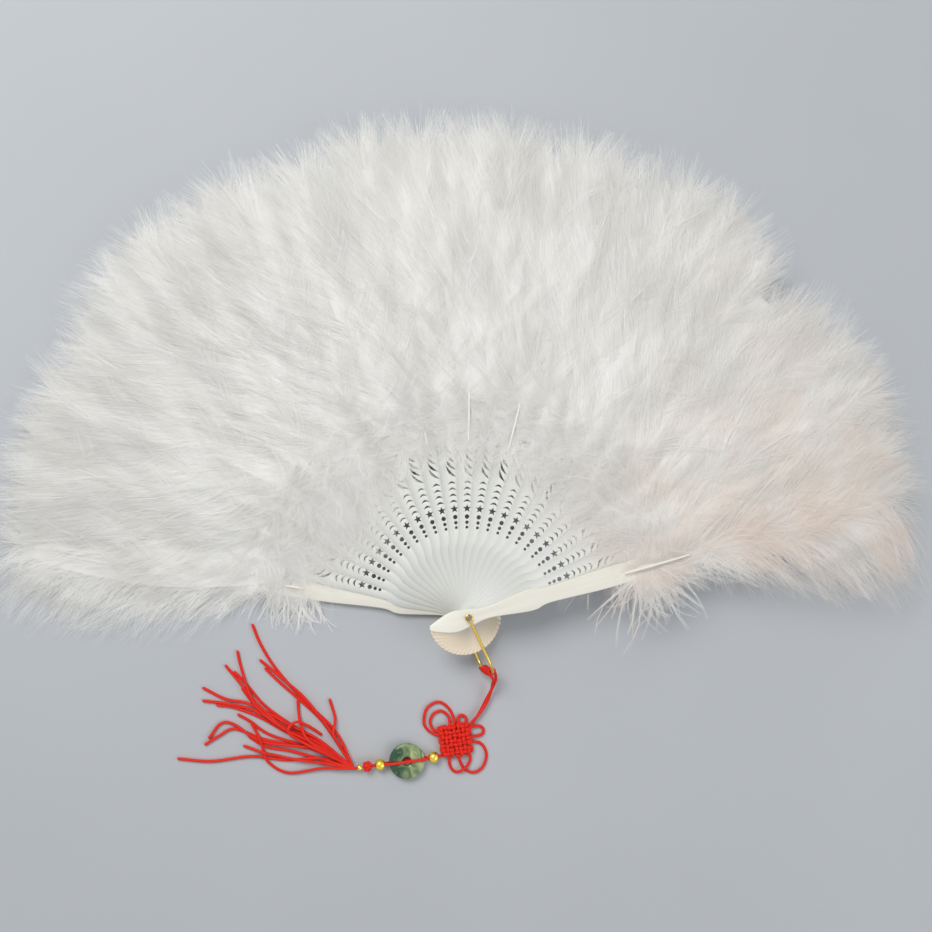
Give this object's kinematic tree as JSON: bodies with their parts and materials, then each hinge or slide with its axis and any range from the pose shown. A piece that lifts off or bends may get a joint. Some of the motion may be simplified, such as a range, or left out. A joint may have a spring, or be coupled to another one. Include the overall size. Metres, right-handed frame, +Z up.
{
  "type": "folding feather fan",
  "caption": "Folding hand fan: pierced plastic sticks between two guards on a rivet, a broad white feather on each, and a wire bail with a red knotted tassel, bead and glass disc.",
  "frame": {"origin": "the rivet's axis, on the surface that the open fan lies on", "axes": "+X to the front guard's side, +Y along the middle of the spread, +Z up out of the fan's face"},
  "size_m": [0.5015, 0.3594, 0.0281],
  "materials": {
    "milky_plastic": "moulded, milky and slightly translucent",
    "feather": "downy, matte",
    "steel": "dull rivet",
    "brass": "bright drawn wire",
    "red_cord": "satin braid",
    "jade_glass": "polished",
    "gold_plating": "polished"
  },
  "bodies": {
    "rear": {"rear_guard": "milky_plastic", "rear_feather": "feather", "pivot_rivet": "steel"},
    "stick_01": {"stick_01": "milky_plastic", "feather_01": "feather"},
    "stick_02": {"stick_02": "milky_plastic", "feather_02": "feather"},
    "stick_03": {"stick_03": "milky_plastic", "feather_03": "feather"},
    "stick_04": {"stick_04": "milky_plastic", "feather_04": "feather"},
    "stick_05": {"stick_05": "milky_plastic", "feather_05": "feather"},
    "stick_06": {"stick_06": "milky_plastic", "feather_06": "feather"},
    "stick_07": {"stick_07": "milky_plastic", "feather_07": "feather"},
    "stick_08": {"stick_08": "milky_plastic", "feather_08": "feather"},
    "stick_09": {"stick_09": "milky_plastic", "feather_09": "feather"},
    "stick_10": {"stick_10": "milky_plastic", "feather_10": "feather"},
    "stick_11": {"stick_11": "milky_plastic", "feather_11": "feather"},
    "stick_12": {"stick_12": "milky_plastic", "feather_12": "feather"},
    "stick_13": {"stick_13": "milky_plastic", "feather_13": "feather"},
    "stick_14": {"stick_14": "milky_plastic", "feather_14": "feather"},
    "stick_15": {"stick_15": "milky_plastic", "feather_15": "feather"},
    "stick_16": {"stick_16": "milky_plastic", "feather_16": "feather"},
    "stick_17": {"stick_17": "milky_plastic", "feather_17": "feather"},
    "stick_18": {"stick_18": "milky_plastic", "feather_18": "feather"},
    "stick_19": {"stick_19": "milky_plastic", "feather_19": "feather"},
    "stick_20": {"stick_20": "milky_plastic", "feather_20": "feather"},
    "stick_21": {"stick_21": "milky_plastic", "feather_21": "feather"},
    "stick_22": {"stick_22": "milky_plastic", "feather_22": "feather"},
    "front": {"front_guard": "milky_plastic", "front_feather": "feather"},
    "bail": {"bail": "brass"},
    "tassel": {"hang_cord": "red_cord", "knot": "red_cord", "bead_upper": "gold_plating", "disc": "jade_glass", "disc_cord": "red_cord", "bead_lower": "gold_plating", "tassel_knot": "red_cord", "bead_small": "gold_plating", "tassel_strands": "red_cord"}
  },
  "joints": [
    {"name": "fan_fold", "type": "hinge", "parent": "rear", "child": "front", "pos_m": [0, 0, 0], "axis": [0, 0, 1], "range_deg": [0, 155.25]},
    {"name": "stick_01_fold", "type": "hinge", "parent": "rear", "child": "stick_01", "pos_m": [0, 0, 0], "axis": [0, 0, 1], "range_deg": [0, 6.75]},
    {"name": "stick_02_fold", "type": "hinge", "parent": "rear", "child": "stick_02", "pos_m": [0, 0, 0], "axis": [0, 0, 1], "range_deg": [0, 13.5]},
    {"name": "stick_03_fold", "type": "hinge", "parent": "rear", "child": "stick_03", "pos_m": [0, 0, 0], "axis": [0, 0, 1], "range_deg": [0, 20.25]},
    {"name": "stick_04_fold", "type": "hinge", "parent": "rear", "child": "stick_04", "pos_m": [0, 0, 0], "axis": [0, 0, 1], "range_deg": [0, 27]},
    {"name": "stick_05_fold", "type": "hinge", "parent": "rear", "child": "stick_05", "pos_m": [0, 0, 0], "axis": [0, 0, 1], "range_deg": [0, 33.75]},
    {"name": "stick_06_fold", "type": "hinge", "parent": "rear", "child": "stick_06", "pos_m": [0, 0, 0], "axis": [0, 0, 1], "range_deg": [0, 40.5]},
    {"name": "stick_07_fold", "type": "hinge", "parent": "rear", "child": "stick_07", "pos_m": [0, 0, 0], "axis": [0, 0, 1], "range_deg": [0, 47.25]},
    {"name": "stick_08_fold", "type": "hinge", "parent": "rear", "child": "stick_08", "pos_m": [0, 0, 0], "axis": [0, 0, 1], "range_deg": [0, 54]},
    {"name": "stick_09_fold", "type": "hinge", "parent": "rear", "child": "stick_09", "pos_m": [0, 0, 0], "axis": [0, 0, 1], "range_deg": [0, 60.75]},
    {"name": "stick_10_fold", "type": "hinge", "parent": "rear", "child": "stick_10", "pos_m": [0, 0, 0], "axis": [0, 0, 1], "range_deg": [0, 67.5]},
    {"name": "stick_11_fold", "type": "hinge", "parent": "rear", "child": "stick_11", "pos_m": [0, 0, 0], "axis": [0, 0, 1], "range_deg": [0, 74.25]},
    {"name": "stick_12_fold", "type": "hinge", "parent": "rear", "child": "stick_12", "pos_m": [0, 0, 0], "axis": [0, 0, 1], "range_deg": [0, 81]},
    {"name": "stick_13_fold", "type": "hinge", "parent": "rear", "child": "stick_13", "pos_m": [0, 0, 0], "axis": [0, 0, 1], "range_deg": [0, 87.75]},
    {"name": "stick_14_fold", "type": "hinge", "parent": "rear", "child": "stick_14", "pos_m": [0, 0, 0], "axis": [0, 0, 1], "range_deg": [0, 94.5]},
    {"name": "stick_15_fold", "type": "hinge", "parent": "rear", "child": "stick_15", "pos_m": [0, 0, 0], "axis": [0, 0, 1], "range_deg": [0, 101.25]},
    {"name": "stick_16_fold", "type": "hinge", "parent": "rear", "child": "stick_16", "pos_m": [0, 0, 0], "axis": [0, 0, 1], "range_deg": [0, 108]},
    {"name": "stick_17_fold", "type": "hinge", "parent": "rear", "child": "stick_17", "pos_m": [0, 0, 0], "axis": [0, 0, 1], "range_deg": [0, 114.75]},
    {"name": "stick_18_fold", "type": "hinge", "parent": "rear", "child": "stick_18", "pos_m": [0, 0, 0], "axis": [0, 0, 1], "range_deg": [0, 121.5]},
    {"name": "stick_19_fold", "type": "hinge", "parent": "rear", "child": "stick_19", "pos_m": [0, 0, 0], "axis": [0, 0, 1], "range_deg": [0, 128.25]},
    {"name": "stick_20_fold", "type": "hinge", "parent": "rear", "child": "stick_20", "pos_m": [0, 0, 0], "axis": [0, 0, 1], "range_deg": [0, 135]},
    {"name": "stick_21_fold", "type": "hinge", "parent": "rear", "child": "stick_21", "pos_m": [0, 0, 0], "axis": [0, 0, 1], "range_deg": [0, 141.75]},
    {"name": "stick_22_fold", "type": "hinge", "parent": "rear", "child": "stick_22", "pos_m": [0, 0, 0], "axis": [0, 0, 1], "range_deg": [0, 148.5]},
    {"name": "bail_swing", "type": "hinge", "parent": "rear", "child": "bail", "pos_m": [0, 0, 0], "axis": [0, 0, 1], "range_deg": [-10, 60]},
    {"name": "tassel_swing", "type": "hinge", "parent": "bail", "child": "tassel", "pos_m": [0.01437, -0.03081, 0.011], "axis": [0, 0, 1], "range_deg": [-12, 110]}
  ],
  "couplings": [
    {"joint": "stick_01_fold", "follows": "fan_fold", "ratio": 0.043478},
    {"joint": "stick_02_fold", "follows": "fan_fold", "ratio": 0.086956},
    {"joint": "stick_03_fold", "follows": "fan_fold", "ratio": 0.13043},
    {"joint": "stick_04_fold", "follows": "fan_fold", "ratio": 0.17391},
    {"joint": "stick_05_fold", "follows": "fan_fold", "ratio": 0.21739},
    {"joint": "stick_06_fold", "follows": "fan_fold", "ratio": 0.26087},
    {"joint": "stick_07_fold", "follows": "fan_fold", "ratio": 0.30435},
    {"joint": "stick_08_fold", "follows": "fan_fold", "ratio": 0.34783},
    {"joint": "stick_09_fold", "follows": "fan_fold", "ratio": 0.3913},
    {"joint": "stick_10_fold", "follows": "fan_fold", "ratio": 0.43478},
    {"joint": "stick_11_fold", "follows": "fan_fold", "ratio": 0.47826},
    {"joint": "stick_12_fold", "follows": "fan_fold", "ratio": 0.52174},
    {"joint": "stick_13_fold", "follows": "fan_fold", "ratio": 0.56522},
    {"joint": "stick_14_fold", "follows": "fan_fold", "ratio": 0.60869},
    {"joint": "stick_15_fold", "follows": "fan_fold", "ratio": 0.65217},
    {"joint": "stick_16_fold", "follows": "fan_fold", "ratio": 0.69565},
    {"joint": "stick_17_fold", "follows": "fan_fold", "ratio": 0.73913},
    {"joint": "stick_18_fold", "follows": "fan_fold", "ratio": 0.78261},
    {"joint": "stick_19_fold", "follows": "fan_fold", "ratio": 0.82609},
    {"joint": "stick_20_fold", "follows": "fan_fold", "ratio": 0.86957},
    {"joint": "stick_21_fold", "follows": "fan_fold", "ratio": 0.91304},
    {"joint": "stick_22_fold", "follows": "fan_fold", "ratio": 0.95652}
  ]
}
